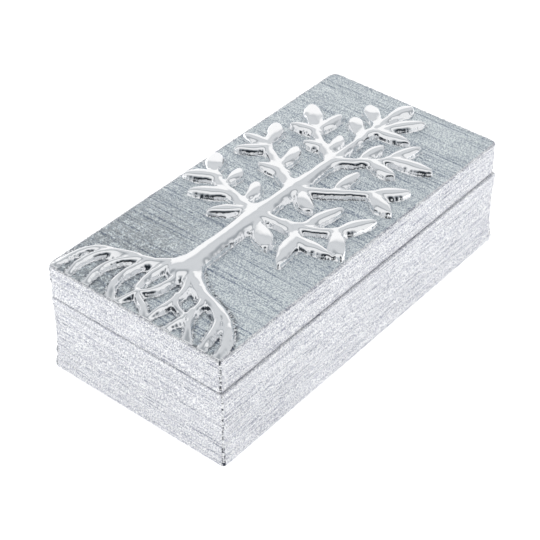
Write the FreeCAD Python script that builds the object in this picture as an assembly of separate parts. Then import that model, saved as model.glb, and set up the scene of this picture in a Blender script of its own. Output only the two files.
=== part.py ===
"""Silvered ceramic keepsake box with a lift-off lid and a tree in relief.

Millimetres, +Z up. The origin is under the middle of the box, on the surface that the
felt pads stand on. The length lies along X, with the tree's roots at the -X end.
"""
import FreeCAD, Part
import os
from FreeCAD import Vector

# Outside of the base
RIM_LENGTH = 197.8
RIM_WIDTH = 96.2
CORNER_RADIUS = 2.0
BASE_HEIGHT = 39.6
FOOT_FLARE = 1.1
WAIST_INSET = 0.4
WAIST_HEIGHT = 18.0
FOOT_ROUNDING = 1.2
RIM_CHAMFER = 1.0

# Inside of the base
WALL = 5.0
FLOOR = 5.0
INNER_RADIUS = 3.0
INNER_CHAMFER = 2.0
FOOT_RING_WIDTH = 7.0
RECESS_DEPTH = 1.2

# Lid
LID_HEIGHT = 16.9
LID_PLATE = 5.0
LID_TOP_ROUNDING = 1.2
LID_BOTTOM_CHAMFER = 1.2
LIP_DEPTH = 5.0
LIP_WALL = 3.4
LIP_CLEARANCE = 1.4
LIP_CHAMFER = 0.8
LID_SIDE_GAP = 0.5

# Felt pads under the base
PAD_SIDE = 14.0
PAD_PROUD = 0.8
PAD_EDGE_GAP = 3.0

# Tree in relief: heights above the lid, and widths that its strands and leaves take a share of
TRUNK_HEIGHT = 5.0
ROOT_HEIGHT = 3.3
BRANCH_HEIGHT = 3.7
LEAF_HEIGHT = 3.8
TREE_SINK = 1.0
TRUNK_WIDTH = 10.4
BRANCH_WIDTH = 7.0
ROOT_WIDTH = 6.4
LEAF_WIDTH = 7.6

# Half sections from the flank to the back: shares of the half width and of the height
STRAND_PROFILE = ((1.0, 0.45), (0.55, 1.0))
LEAF_PROFILE = ((1.0, 0.48), (0.0, 1.0))
# Degree of the curves that the tree's lofts run along
LOFT_DEGREE = 3
# How much of its height a branch or root has left at its tip
TIP_SHARE = 0.75
# Sections of a leaf's shapes: place along its length, share of its width and share of its height
POINTED = ((0.0, 0.28, 0.75), (0.3, 0.96, 0.97), (0.68, 0.8, 0.97), (1.0, 0.06, 0.7))
BLUNT = ((0.0, 0.3, 0.75), (0.35, 0.82, 0.95), (0.8, 0.94, 0.98), (1.0, 0.3, 0.75))
ROUND = ((0.0, 0.3, 0.75), (0.3, 0.92, 0.96), (0.75, 0.86, 0.97), (1.0, 0.15, 0.7))

# Places on the tree are in percent of the half length and half width of the lid's flat.
# Trunk: its course, with the share of the trunk's width at each point
TRUNK = (
    (-72.7, 1.3, 1.15), (-65.5, 1.3, 1.35), (-36.8, 1.7, 1), (-17.4, 2.6, 1.08),
    (0, 1.7, 0.77), (37.9, 0.6, 0.63), (55.3, 0.9, 0.4), (86, 1.3, 0.37),
)

# Branches: course from the trunk outwards, share of the branch width at the start and at the tip
BRANCHES = (
    (((-17.4, 4.3), (-15.7, 23.5), (-12.7, 44.8), (-5.1, 76.8)), 1.11, 0.71),
    (((8.2, 4.3), (13.3, 25.6), (19.4, 44.8), (26.6, 68.2)), 1.06, 0.69),
    (((35.8, 2.1), (42, 20.3), (48.1, 38.4), (55.3, 48)), 0.91, 0.63),
    (((-17.4, 0), (-16.2, -21.3), (-12.8, -44.8), (-5.1, -72.5)), 0.97, 0.6),
    (((-15.9, -27.7), (-17.4, -38.4), (-21, -46.9)), 0.71, 0.6),
    (((7.2, 0), (12.3, -19.2), (18.4, -38), (26.6, -62.9)), 0.91, 0.6),
    (((35.8, 0), (40.9, -15.4), (47.1, -29.4), (54.2, -41.6)), 0.83, 0.57),
    (((65.5, 1.1), (69.6, -4.3), (75.7, -8.5)), 0.57, 0.46),
    (((57.3, 2.1), (61.4, 7.5), (64.5, 12.8)), 0.6, 0.54),
    (((71.6, 2.1), (75.7, 7.5), (78.3, 13.9)), 0.6, 0.54),
)

# Leaves: stalk end, tip, share of the leaf width and shape
LEAVES = (
    ((-19.4, 17.1), (-30.9, 41.8), 0.89, POINTED),
    ((-13.8, 40.5), (-24.6, 77.4), 1.11, POINTED),
    ((-7.2, 68.2), (-16.7, 97.7), 1.05, POINTED),
    ((-5.1, 77.8), (6.6, 95.1), 1.26, ROUND),
    ((-10.7, 54.4), (4.4, 60.1), 0.84, BLUNT),
    ((-14.3, 22.4), (0.8, 33.7), 0.97, BLUNT),
    ((15.4, 20.3), (12.3, 56.1), 0.95, POINTED),
    ((15.9, 32), (34.8, 41.4), 1.03, BLUNT),
    ((25.6, 62.9), (14.7, 88.3), 0.92, POINTED),
    ((27.6, 66.1), (26.8, 98.5), 0.87, POINTED),
    ((26.6, 65), (44, 82.7), 1.16, BLUNT),
    ((42.5, 21.3), (39.5, 44.3), 0.76, POINTED),
    ((39.9, 11.7), (55.3, 20), 0.97, BLUNT),
    ((50.7, 40.5), (47.5, 74.2), 0.89, POINTED),
    ((53.2, 44.8), (67.3, 77.2), 1.32, BLUNT),
    ((52.2, 43.3), (70.9, 40.9), 0.92, POINTED),
    ((60.4, 6.4), (71.6, 29.9), 1.11, BLUNT),
    ((73.7, 6.4), (84.7, 31.6), 1.13, BLUNT),
    ((80.3, 1.3), (97, -4.7), 1.03, BLUNT),
    ((-22.5, -6.4), (-34.6, -37.5), 1.24, ROUND),
    ((-10.2, -43.7), (11.3, -55.9), 0.97, POINTED),
    ((-6.1, -71.4), (12.9, -90.8), 1.05, POINTED),
    ((-6.1, -71.4), (-19, -98.5), 1.18, POINTED),
    ((-18.9, -45.8), (-40.9, -61), 1.11, POINTED),
    ((-20.5, -46.9), (-20.1, -90.6), 1, POINTED),
    ((7.7, -7.5), (-1.4, -34.1), 1.13, ROUND),
    ((17.4, -31.1), (37.1, -31.6), 0.92, ROUND),
    ((26.1, -61.8), (39.5, -89.6), 1.11, POINTED),
    ((26.6, -61.8), (20, -93.8), 1.11, ROUND),
    ((44, -19.6), (61.8, -23.5), 0.92, ROUND),
    ((46.6, -28.8), (44.5, -61.8), 0.97, ROUND),
    ((53.2, -40.5), (72.2, -54.4), 0.89, POINTED),
    ((53.7, -40.5), (58.3, -86.4), 1.05, ROUND),
    ((68.6, -3.2), (71.1, -41.6), 0.95, POINTED),
    ((73.7, -7.5), (90.7, -32), 1, POINTED),
)

# Roots: course from the trunk to the lid's edge, share of the root width at the start and at the tip
ROOTS = (
    (((-63.5, 6.4), (-72.7, 34.1), (-77.3, 68.2), (-86, 90), (-101.3, 95.9)), 1.5, 0.59),
    (((-73.7, 42.6), (-77.8, 64), (-86, 76.8), (-101.3, 77.8)), 0.69, 0.53),
    (((-72.2, 29.9), (-77.8, 46.9), (-86, 57.6), (-101.3, 56.7)), 0.72, 0.53),
    (((-67.6, 14.9), (-73.7, 29), (-81.9, 36.2), (-92.1, 36.2), (-101.3, 23.5)), 1.1, 0.53),
    (((-66.5, 8.5), (-74.7, 17.1), (-87, 15.6), (-94.2, 1.3), (-101.3, -17.1)), 0.81, 0.5),
    (((-65.5, 0), (-77.8, -1.7), (-86, 1.7), (-93.1, 11.5), (-101.3, 21.3)), 0.78, 0.5),
    (((-65.5, -4.3), (-74.7, -16.2), (-85, -21.3), (-101.3, -16)), 0.84, 0.53),
    (((-82.9, -20.3), (-87.5, -28.8), (-89.6, -42.6)), 0.62, 0.53),
    (((-68.6, -12.8), (-74.7, -33), (-83.9, -43.9), (-101.3, -36.2)), 1, 0.53),
    (((-86, -43.7), (-93.1, -52.2), (-101.3, -66.1)), 0.66, 0.53),
    (((-73.7, -29.9), (-78.3, -55.4), (-88, -72.5), (-101.3, -80)), 0.78, 0.62),
    (((-63.5, -6.4), (-72.7, -30.9), (-77.8, -59.7), (-85, -82.3), (-101.3, -97.2)), 1.5, 0.66),
)

# Heights of the box's levels
foot_level = PAD_PROUD
rim_level = foot_level + BASE_HEIGHT
lid_top_level = rim_level + LID_HEIGHT
recess_level = foot_level + RECESS_DEPTH
floor_level = recess_level + FLOOR

# The mouth of the base, and the lip that drops into it
mouth_length = RIM_LENGTH - 2 * WALL
mouth_width = RIM_WIDTH - 2 * WALL
lip_length = mouth_length - 2 * LIP_CLEARANCE
lip_width = mouth_width - 2 * LIP_CLEARANCE

# A loose lid lies against one side of its play, short of the wall by the side gap
lid_shift = LIP_CLEARANCE - LID_SIDE_GAP

# The flat of the lid's top, which carries the tree
flat_length = RIM_LENGTH - 2 * LID_TOP_ROUNDING
flat_width = RIM_WIDTH - 2 * LID_TOP_ROUNDING
flat_radius = CORNER_RADIUS - LID_TOP_ROUNDING


def rounded_rectangle(length, width, radius, level):
    """Closed wire at one level: four straight sides joined by quarter-circle corners."""
    reach_x = length / 2
    reach_y = width / 2
    bend = radius * (1 - 0.5 ** 0.5)
    edges = []
    for turn in range(4):
        along = reach_x if turn % 2 == 0 else reach_y
        across = reach_y if turn % 2 == 0 else reach_x
        side_start = Vector(-along + radius, -across, level)
        side_end = Vector(along - radius, -across, level)
        corner_middle = Vector(along - bend, -across + bend, level)
        corner_end = Vector(along, -across + radius, level)
        pair = (Part.LineSegment(side_start, side_end).toShape(),
                Part.Arc(side_end, corner_middle, corner_end).toShape())
        for edge in pair:
            edge.rotate(Vector(0, 0, 0), Vector(0, 0, 1), 90 * turn)
            edges.append(edge)
    return Part.Wire(edges)


def block(length, width, radius, low, high):
    """Upright block with a rounded-rectangle plan between two levels."""
    face = Part.Face(rounded_rectangle(length, width, radius, low))
    return face.extrude(Vector(0, 0, high - low))


def edges_at(shape, level):
    """All edges of a shape that lie wholly in one level."""
    near = 1e-4
    return [edge for edge in shape.Edges
            if abs(edge.BoundBox.ZMin - level) < near and abs(edge.BoundBox.ZMax - level) < near]


def wall_profile():
    """Upright half section of the base outside its corner centres, with the wall drawn in at the waist."""
    low_inside = Vector(0, 0, foot_level)
    low_outside = Vector(CORNER_RADIUS + FOOT_FLARE, 0, foot_level)
    waist = Vector(CORNER_RADIUS - WAIST_INSET, 0, foot_level + WAIST_HEIGHT)
    high_outside = Vector(CORNER_RADIUS, 0, rim_level)
    high_inside = Vector(0, 0, rim_level)
    return Part.Face(Part.Wire([
        Part.LineSegment(low_inside, low_outside).toShape(),
        Part.Arc(low_outside, waist, high_outside).toShape(),
        Part.LineSegment(high_outside, high_inside).toShape(),
        Part.LineSegment(high_inside, low_inside).toShape(),
    ]))


def flared_block():
    """Solid outside of the base: the wall profile run along each side and turned at each corner."""
    reach_x = RIM_LENGTH / 2 - CORNER_RADIUS
    reach_y = RIM_WIDTH / 2 - CORNER_RADIUS
    middle = Vector(0, 0, 0)
    upright = Vector(0, 0, 1)
    profile = wall_profile()
    pieces = [Part.makeBox(2 * reach_x, 2 * reach_y, BASE_HEIGHT, Vector(-reach_x, -reach_y, foot_level))]
    for turn in range(4):
        across = reach_x if turn % 2 == 0 else reach_y
        along = reach_y if turn % 2 == 0 else reach_x
        side = profile.translated(Vector(across, -along, 0)).extrude(Vector(0, 2 * along, 0))
        corner = profile.revolve(middle, upright, 90).translated(Vector(across, along, 0))
        for piece in (side, corner):
            piece.rotate(middle, upright, 90 * turn)
            pieces.append(piece)
    return pieces[0].multiFuse(pieces[1:]).removeSplitter()


def base_shell():
    """Open box: walls drawn in at the waist, flared at the foot, with a recessed underside."""
    outside = flared_block()
    outside = outside.makeFillet(FOOT_ROUNDING, edges_at(outside, foot_level))
    outside = outside.makeChamfer(RIM_CHAMFER, edges_at(outside, rim_level))
    hollow = block(mouth_length, mouth_width, INNER_RADIUS, floor_level, rim_level + RIM_CHAMFER)
    hollow = hollow.makeChamfer(INNER_CHAMFER, edges_at(hollow, floor_level))
    recess = block(RIM_LENGTH - 2 * FOOT_RING_WIDTH, RIM_WIDTH - 2 * FOOT_RING_WIDTH,
                   INNER_RADIUS, foot_level - RECESS_DEPTH, recess_level)
    return outside.cut(hollow).cut(recess)


def lid_shell():
    """Hollow lid with rounded edges and a lip that drops into the mouth of the base."""
    outside = block(RIM_LENGTH, RIM_WIDTH, CORNER_RADIUS, rim_level, lid_top_level)
    outside = outside.makeFillet(LID_TOP_ROUNDING, edges_at(outside, lid_top_level))
    outside = outside.makeChamfer(LID_BOTTOM_CHAMFER, edges_at(outside, rim_level))
    lip = block(lip_length, lip_width, INNER_RADIUS, rim_level - LIP_DEPTH, rim_level + LID_PLATE)
    lip = lip.makeChamfer(LIP_CHAMFER, edges_at(lip, rim_level - LIP_DEPTH))
    hollow = block(lip_length - 2 * LIP_WALL, lip_width - 2 * LIP_WALL, INNER_RADIUS,
                   rim_level - 2 * LIP_DEPTH, lid_top_level - LID_PLATE)
    hollow = hollow.makeChamfer(INNER_CHAMFER, edges_at(hollow, lid_top_level - LID_PLATE))
    return outside.fuse(lip).cut(hollow).removeSplitter()


def on_lid(point):
    """Place on the flat of the lid's top, from percents of its half length and half width."""
    return Vector(point[0] / 100 * flat_length / 2, point[1] / 100 * flat_width / 2, lid_top_level)


def arch_section(centre, side, half_profile, half_width, height):
    """Upright section of a strand or leaf: a foot sunk into the lid and facets up to the back."""
    foot = half_profile[0][0] * half_width
    sunk = Vector(0, 0, -TREE_SINK)
    corners = [centre - side * foot + sunk]
    for across, up in half_profile:
        corners.append(centre - side * (across * half_width) + Vector(0, 0, up * height))
    for across, up in reversed(half_profile):
        if across > 0:
            corners.append(centre + side * (across * half_width) + Vector(0, 0, up * height))
    corners.append(centre + side * foot + sunk)
    return Part.makePolygon(corners + corners[:1])


def strand(course, widths, heights):
    """Trunk, branch or root: sections square to the course, lofted from end to end."""
    centres = [on_lid(point) for point in course]
    sections = []
    for index, centre in enumerate(centres):
        before = centres[max(index - 1, 0)]
        after = centres[min(index + 1, len(centres) - 1)]
        along = (after - before).normalize()
        side = Vector(-along.y, along.x, 0)
        sections.append(arch_section(centre, side, STRAND_PROFILE, widths[index] / 2, heights[index]))
    return Part.makeLoft(sections, True, False, False, LOFT_DEGREE)


def tapered_strand(course, start_share, tip_share, width, height):
    """Strand whose width and height fall evenly from its start to its tip."""
    last = len(course) - 1
    shares = [start_share + (tip_share - start_share) * step / last for step in range(last + 1)]
    heights = [height * (1 + (TIP_SHARE - 1) * step / last) for step in range(last + 1)]
    return strand(course, [share * width for share in shares], heights)


def leaf(stalk_end, tip, share, shape):
    """Leaf lofted through its shape's sections from the stalk end to the tip."""
    start = on_lid(stalk_end)
    span = on_lid(tip) - start
    along = Vector(span).normalize()
    side = Vector(-along.y, along.x, 0)
    sections = []
    for place, width_share, height_share in shape:
        sections.append(arch_section(start + span * place, side, LEAF_PROFILE,
                                     width_share * share * LEAF_WIDTH / 2, height_share * LEAF_HEIGHT))
    return Part.makeLoft(sections, True, False, False, LOFT_DEGREE)


def tree_relief():
    """The whole tree as one solid, with a flat back on the lid and its ends trimmed to the lid's flat."""
    trunk_course = [point[:2] for point in TRUNK]
    trunk_widths = [point[2] * TRUNK_WIDTH for point in TRUNK]
    last = len(TRUNK) - 1
    fall = (BRANCH_HEIGHT - TRUNK_HEIGHT) / last
    trunk_heights = [TRUNK_HEIGHT + fall * step for step in range(last + 1)]
    pieces = [strand(trunk_course, trunk_widths, trunk_heights)]
    pieces += [tapered_strand(*branch, BRANCH_WIDTH, BRANCH_HEIGHT) for branch in BRANCHES]
    pieces += [tapered_strand(*root, ROOT_WIDTH, ROOT_HEIGHT) for root in ROOTS]
    pieces += [leaf(*one_leaf) for one_leaf in LEAVES]
    lid_flat = block(flat_length, flat_width, flat_radius, lid_top_level, lid_top_level + 2 * TRUNK_HEIGHT)
    pieces = [piece.common(lid_flat) for piece in pieces]
    return pieces[0].multiFuse(pieces[1:]).removeSplitter()


def felt_pad(side_x, side_y):
    """Square felt pad in one corner of the recess, stuck to its ceiling and a little proud of the foot."""
    inset = FOOT_RING_WIDTH + PAD_EDGE_GAP + PAD_SIDE / 2
    centre_x = side_x * (RIM_LENGTH / 2 - inset)
    centre_y = side_y * (RIM_WIDTH / 2 - inset)
    corner = Vector(centre_x - PAD_SIDE / 2, centre_y - PAD_SIDE / 2, 0)
    return Part.makeBox(PAD_SIDE, PAD_SIDE, recess_level, corner)


def all_nodes():
    """Every piece of the box by its node's name, in the place where it rests."""
    nodes = {"base_shell": base_shell()}
    for name, shape in (("lid_shell", lid_shell()), ("tree_relief", tree_relief())):
        nodes[name] = shape.translated(Vector(0, lid_shift, 0))
    for end, side_x in (("root_end", -1), ("crown_end", 1)):
        for face, side_y in (("front", -1), ("back", 1)):
            nodes[f"felt_pad_{end}_{face}"] = felt_pad(side_x, side_y)
    return nodes


def main():
    os.makedirs("parts", exist_ok=True)
    for name, shape in all_nodes().items():
        shape.exportStep(f"parts/{name}.step")
        print(f"{name}: {len(shape.Solids)} solid, {shape.Volume / 1000:.2f} cm3, valid {shape.isValid()}")


main()
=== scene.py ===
"""Looks of a silvered ceramic keepsake box with a tree in relief on its lift-off lid.

Metres and +Z up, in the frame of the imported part. The sizes named below are in millimetres,
and places on the lid are counted from its middle, with the tree's roots towards -X.
"""
import math

import bpy
import numpy as np
from mathutils import Matrix, Vector
from mathutils.geometry import delaunay_2d_cdt


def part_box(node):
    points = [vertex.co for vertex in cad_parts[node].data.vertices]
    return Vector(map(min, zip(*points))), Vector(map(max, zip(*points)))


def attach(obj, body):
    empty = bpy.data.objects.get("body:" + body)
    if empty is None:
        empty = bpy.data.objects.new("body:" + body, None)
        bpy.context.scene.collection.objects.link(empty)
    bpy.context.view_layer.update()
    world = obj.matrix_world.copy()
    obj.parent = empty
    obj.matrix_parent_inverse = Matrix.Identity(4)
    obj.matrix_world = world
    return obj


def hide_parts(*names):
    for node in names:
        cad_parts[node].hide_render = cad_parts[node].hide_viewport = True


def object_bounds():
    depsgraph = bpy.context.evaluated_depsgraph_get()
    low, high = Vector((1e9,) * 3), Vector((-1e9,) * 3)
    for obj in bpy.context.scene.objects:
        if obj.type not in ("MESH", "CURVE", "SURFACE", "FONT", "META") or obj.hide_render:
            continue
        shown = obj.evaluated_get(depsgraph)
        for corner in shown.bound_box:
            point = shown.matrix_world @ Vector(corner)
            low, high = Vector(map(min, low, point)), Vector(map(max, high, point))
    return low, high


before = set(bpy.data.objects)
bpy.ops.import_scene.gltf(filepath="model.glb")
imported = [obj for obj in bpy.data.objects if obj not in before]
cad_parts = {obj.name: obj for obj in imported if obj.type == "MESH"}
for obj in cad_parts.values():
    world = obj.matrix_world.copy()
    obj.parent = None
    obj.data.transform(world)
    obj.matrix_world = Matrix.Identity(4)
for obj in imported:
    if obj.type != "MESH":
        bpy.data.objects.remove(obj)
cad_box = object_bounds()

MM = 0.001

# Levels and reaches of the box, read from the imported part
base_low, base_high = (np.array(corner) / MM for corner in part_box("base_shell"))
lid_low, lid_high = (np.array(corner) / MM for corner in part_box("lid_shell"))
HALF_LENGTH, HALF_WIDTH = (lid_high - lid_low)[:2] / 2
LID_MIDDLE = (lid_low + lid_high)[:2] / 2
FOOT_LEVEL = base_low[2]
RIM_LEVEL = base_high[2]
LIP_LEVEL = lid_low[2]
LID_TOP_LEVEL = lid_high[2]

# Base: its section, with the walls drawn in at the waist and a recess underneath
CORNER_RADIUS = 1.4
BASE_CORNERS = (CORNER_RADIUS,) * 4
INNER_RADIUS = 3.0
FOOT_FLARE = 1.0
WAIST_INSET = 0.4
WAIST_HEIGHT = 18.0
FOOT_ROUNDING = 0.8
RIM_ROUNDING = 1.0
MOUTH_ROUNDING = 0.6
WALL = 5.0
FLOOR_LEVEL = FOOT_LEVEL + 6.2
FLOOR_FILLET = 2.0
FOOT_RING_WIDTH = 7.0
FOOT_RING_CHAMFER = 0.3
RECESS_LEVEL = FOOT_LEVEL + 1.2

# Lid: its section, with a lip that drops into the base
LID_EDGE_ROUNDING = 1.2
LID_PLATE = 5.0
LIP_INSET = 6.4
LIP_WALL = 3.4
LIP_ROUNDING = 0.8
LIP_CHAMFER = 0.4
# Upright corners of the lid, against the clock from the crisp one at the front of the root end
LID_CORNERS = (CORNER_RADIUS, 3.5, 4.5, 3.5)
# Half length and half width of the lid's flat top
FLAT_X = HALF_LENGTH - LID_EDGE_ROUNDING
FLAT_Y = HALF_WIDTH - LID_EDGE_ROUNDING

# Felt pads: rounded corner, soft lower edge, where the side and the flat top begin, and the fuzz on them
PAD_CORNER = 1.2
PAD_EDGE = 0.45
PAD_SIDE_START = 0.8
PAD_TOP_INSET = 1.0
PAD_FUZZ = 0.12
PAD_BLUR = 0.6

# Grids: columns along a long side, a short side and a corner, and rows up a wall
BASE_COLUMNS = (140, 64, 10)
LID_COLUMNS = (460, 60, 12)
PAD_COLUMNS = (12, 12, 5)
WALL_ROWS = 168
LID_SIDE_ROWS = 60
# Half width of the small caps that close a surface in its middle, and how far off a fillet the next row lies
CAP_HALF_WIDTH = 0.5
FILLET_MARGIN = 4.0
# Largest share of a half width that an inner corner's radius takes up
ROUND_SHARE = 0.9

# Combed relief of the clay, cut in from the plain surface and faded on the base towards foot and rim
WALL_COMB_DEPTH = 0.16
LID_COMB_DEPTH = 0.16
COMB_FADE = 1.5
COMB_LEAST = 0.25
# Layers of the combing: seed of the noise, and its blur over rows and over columns
WALL_COMBS = ((11, 0.9, 7), (12, 1.6, 3))
TOP_COMBS = ((21, 7, 0.7), (22, 14, 1.6))
SIDE_COMBS = ((23, 0.9, 8), (24, 1.5, 4))

# Wear along the upright corners: how far round the turn it starts, and over how much more it grows
WEAR_START = 0.55
WEAR_GROWTH = 0.25
# Painted shade on the lid's top by roots and crown: strength, height of the tree where it is greatest, and
# reach in height
ROOT_SHADE = (0.9, -1.0, 3.0)
CROWN_SHADE = (0.5, -0.5, 0.8)
# Painted shade over the back of the root end of the lid's top: strength, where it starts and over how far it
# grows, in x and y
BACK_SHADE = 0.4
BACK_SHADE_START = (-15.0, -5.0)
BACK_SHADE_GROWTH = (50.0, 25.0)

# Grid of the tree's relief, depths of its foot and its back under the lid's top, and where the roots begin
TREE_PITCH = 0.36
TREE_SKIRT = 0.3
TREE_BACK = 0.7
ROOT_ZONE = -60.0
# Section of the tree's shapes, and how far outside them still counts
CROWN_ROUNDNESS = 4.4
ROOT_ROUNDNESS = 2.6
MIDRIB_SHARE = 0.14
FARTHEST = -6.0
# How the shapes melt together and into the lid, bulge at their flanks and droop towards the lid's edge
BRANCH_MELT = 3.0
LEAF_MELT = 2.4
ROOT_MELT = 1.5
FOOT_MELT = 1.2
KEPT_FOOT = 0.9
FLANK_BULGE = 0.25
ROOT_DROOP = 8.0
LEAF_DROOP = 2.2
# Unevenness of the tree, and where over the lid its foot, back and flanks have theirs
OUTLINE_WAVER = 0.1
FOOT_WAVER = 0.25
FOOT_REACH = 0.6
GLAZE_BLUR = 0.4
GLAZE_WAVE = 0.1
GLAZE_WAVE_START = 1.0
FLANK_CHATTER = 0.2
FLANK_MIDDLE = 1.1
FLANK_REACH = 0.8
# Noise for the outline, the foot, the back and the flanks: seed, and blur in steps of the grid
TREE_NOISES = ((31, 3.5), (32, 1.6), (33, 8), (34, 1))

# Beads of glaze: least and largest half size, height against width, how deep they sit, and rings in degrees
BEAD_SIZES = (0.22, 0.55)
BEAD_SQUASH = 0.8
BEAD_SINK = 0.1
BEAD_RINGS = (-50, 0, 50)
BEAD_COLUMNS = 7
# Beads per millimetre of a corner and of the lid's top edge, and their scatter about a corner
CORNER_BEADS = 1.5
EDGE_BEADS = 1.1
CORNER_SCATTER = 0.12
# Middle and spread of their places on the lid's rounded top edge, in degrees up from its side
EDGE_SLIDE = (50, 22)
# Beads by the tree's foot: how many, how far below the tree's face, and odds given as the painted shade is
HOLLOW_BEADS = 520
HOLLOW_CLEARANCE = 0.1
ROOT_ODDS = (1.0, -0.8, 1.2)
CROWN_ODDS = (0.22, -0.4, 0.5)
# Seeds of the beads' places and sizes
BASE_CORNER_SEED = 41
BASE_SIZE_SEED = 42
LID_CORNER_SEED = 43
LID_EDGE_SEED = 44
HOLLOW_SEED = 45
LID_SIZE_SEED = 46

# Heights of the tree's crests over the lid, and shares by which a strand sinks and a leaf arches and sinks
TRUNK_HEIGHT = 4.85
CROWN_HEIGHT = 3.4
BRANCH_HEIGHT = 3.7
ROOT_HEIGHT = 3.3
LEAF_HEIGHT = 3.7
STRAND_SINK = 0.2
LEAF_ARCH = 0.16
LEAF_SINK = 0.12
# Least half width that shapes a leaf's section, and least shares of its length counted at stalk and tip
LEAF_HALF_WIDTH = 2.2
STALK_SHARE = 0.08
TIP_SHARE = 0.001
# Powers of the way from a leaf's stalk and of the way to its tip
POINTED = (0.55, 0.78)
BLUNT = (0.7, 0.38)
ROUND = (0.5, 0.42)
DROP = (0.6, 0.6)

# Trunk: place and half width along its course
TRUNK = (
    (-66, 0.6, 7.4), (-56, 0.5, 5.7), (-40, 0.7, 5.2), (-28, 1.0, 5.1), (-17, 1.2, 5.8), (-8, 0.8, 4.2),
    (0, 0.8, 3.8), (9, 0.8, 4.6), (20, 0.2, 3.7), (30, 0.2, 3.4), (37, 0.3, 3.3), (46, 0.2, 2.3),
    (60, 0.5, 1.9), (75, 0.8, 1.9), (83, 0.6, 1.9),
)

# Branches: places along the course, half width at its start and at its tip
BRANCHES = (
    (((-17, 2), (-15.5, 10), (-13, 19), (-10.5, 27), (-6.5, 34)), 3.9, 2.6),
    (((8, 2), (12, 10), (16, 17), (22, 25), (26, 32)), 3.7, 2.4),
    (((35, 1), (40, 8), (44, 14), (49, 20), (54, 22.5)), 3.2, 2.2),
    (((-17, 0), (-16, -9), (-14.5, -17), (-9.5, -27), (-5, -34)), 3.4, 2.1),
    (((-13.5, -18), (-10, -20.5), (-7, -21.5)), 2.1, 1.9),
    (((-15.5, -13), (-17, -18), (-20.5, -22)), 2.5, 2.1),
    (((7, 0), (10, -6), (15, -13.5), (20, -20.5), (26, -29.5)), 3.2, 2.1),
    (((35, 0), (39, -6), (44, -11.5), (48, -16), (53, -19.5)), 2.9, 2.0),
    (((64, 0.5), (68, -2), (74, -4)), 2.0, 1.6),
    (((56, 1), (60, 3.5), (63, 6)), 2.1, 1.9),
    (((70, 1), (74, 3.5), (76.5, 6.5)), 2.1, 1.9),
)

# Leaves: stalk end, tip, width, bow of the midrib to the left on the way to the tip, and its outline
LEAVES = (
    ((-19, 8), (-30.2, 19.6), 6.8, -0.8, POINTED),
    ((-13.5, 19), (-24, 36.3), 8.4, -1.0, POINTED),
    ((-7, 32), (-16.3, 45.8), 8.0, -1.0, POINTED),
    ((-5, 36.5), (6.4, 44.6), 9.6, 0.2, ROUND),
    ((-10.5, 25.5), (4.3, 28.2), 6.4, -0.5, BLUNT),
    ((-14, 10.5), (0.8, 15.8), 7.4, -0.6, BLUNT),
    ((15, 9.5), (12, 26.3), 7.2, 0.2, POINTED),
    ((15.5, 15), (34, 19.4), 7.8, -0.5, BLUNT),
    ((25, 29.5), (14.4, 41.4), 7.0, 0.4, POINTED),
    ((27, 31), (26.2, 46.2), 6.6, 0.0, POINTED),
    ((26, 30.5), (43, 38.8), 8.8, -0.6, BLUNT),
    ((41.5, 10), (38.6, 20.8), 5.8, 0.3, POINTED),
    ((39, 5.5), (54, 9.4), 7.4, -0.4, BLUNT),
    ((49.5, 19), (46.4, 34.8), 6.8, -0.4, POINTED),
    ((52, 21), (65.8, 36.2), 10.0, 0.3, BLUNT),
    ((51, 20.3), (69.3, 19.2), 7.0, 0.3, POINTED),
    ((59, 3), (70, 14), 8.4, -0.4, BLUNT),
    ((72, 3), (82.8, 14.8), 8.6, -0.6, BLUNT),
    ((78.5, 0.6), (94.8, -2.2), 7.8, 0.8, BLUNT),
    ((-22, -3), (-33.8, -17.6), 9.4, 0.6, DROP),
    ((-10, -20.5), (11, -26.2), 7.4, 0.8, POINTED),
    ((-6, -33.5), (12.6, -42.6), 8.0, 0.8, POINTED),
    ((-6, -33.5), (-18.6, -46.2), 9.0, -0.6, POINTED),
    ((-18.5, -21.5), (-40, -28.6), 8.4, -0.6, POINTED),
    ((-20, -22), (-19.6, -42.5), 7.6, -0.3, POINTED),
    ((7.5, -3.5), (-1.4, -16), 8.6, -0.4, DROP),
    ((17, -14.6), (36.2, -14.8), 7.0, 0.3, DROP),
    ((25.5, -29), (38.6, -42), 8.4, 0.6, POINTED),
    ((26, -29), (19.5, -44), 8.4, -0.5, DROP),
    ((43, -9.2), (60.4, -11), 7.0, 0.6, DROP),
    ((45.5, -13.5), (43.5, -29), 7.4, -0.3, DROP),
    ((52, -19), (70.5, -25.5), 6.8, 0.6, POINTED),
    ((52.5, -19), (57, -40.5), 8.0, 0.5, DROP),
    ((67, -1.5), (69.5, -19.5), 7.2, 0.4, POINTED),
    ((72, -3.5), (88.6, -15), 7.6, 0.6, POINTED),
)

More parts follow.
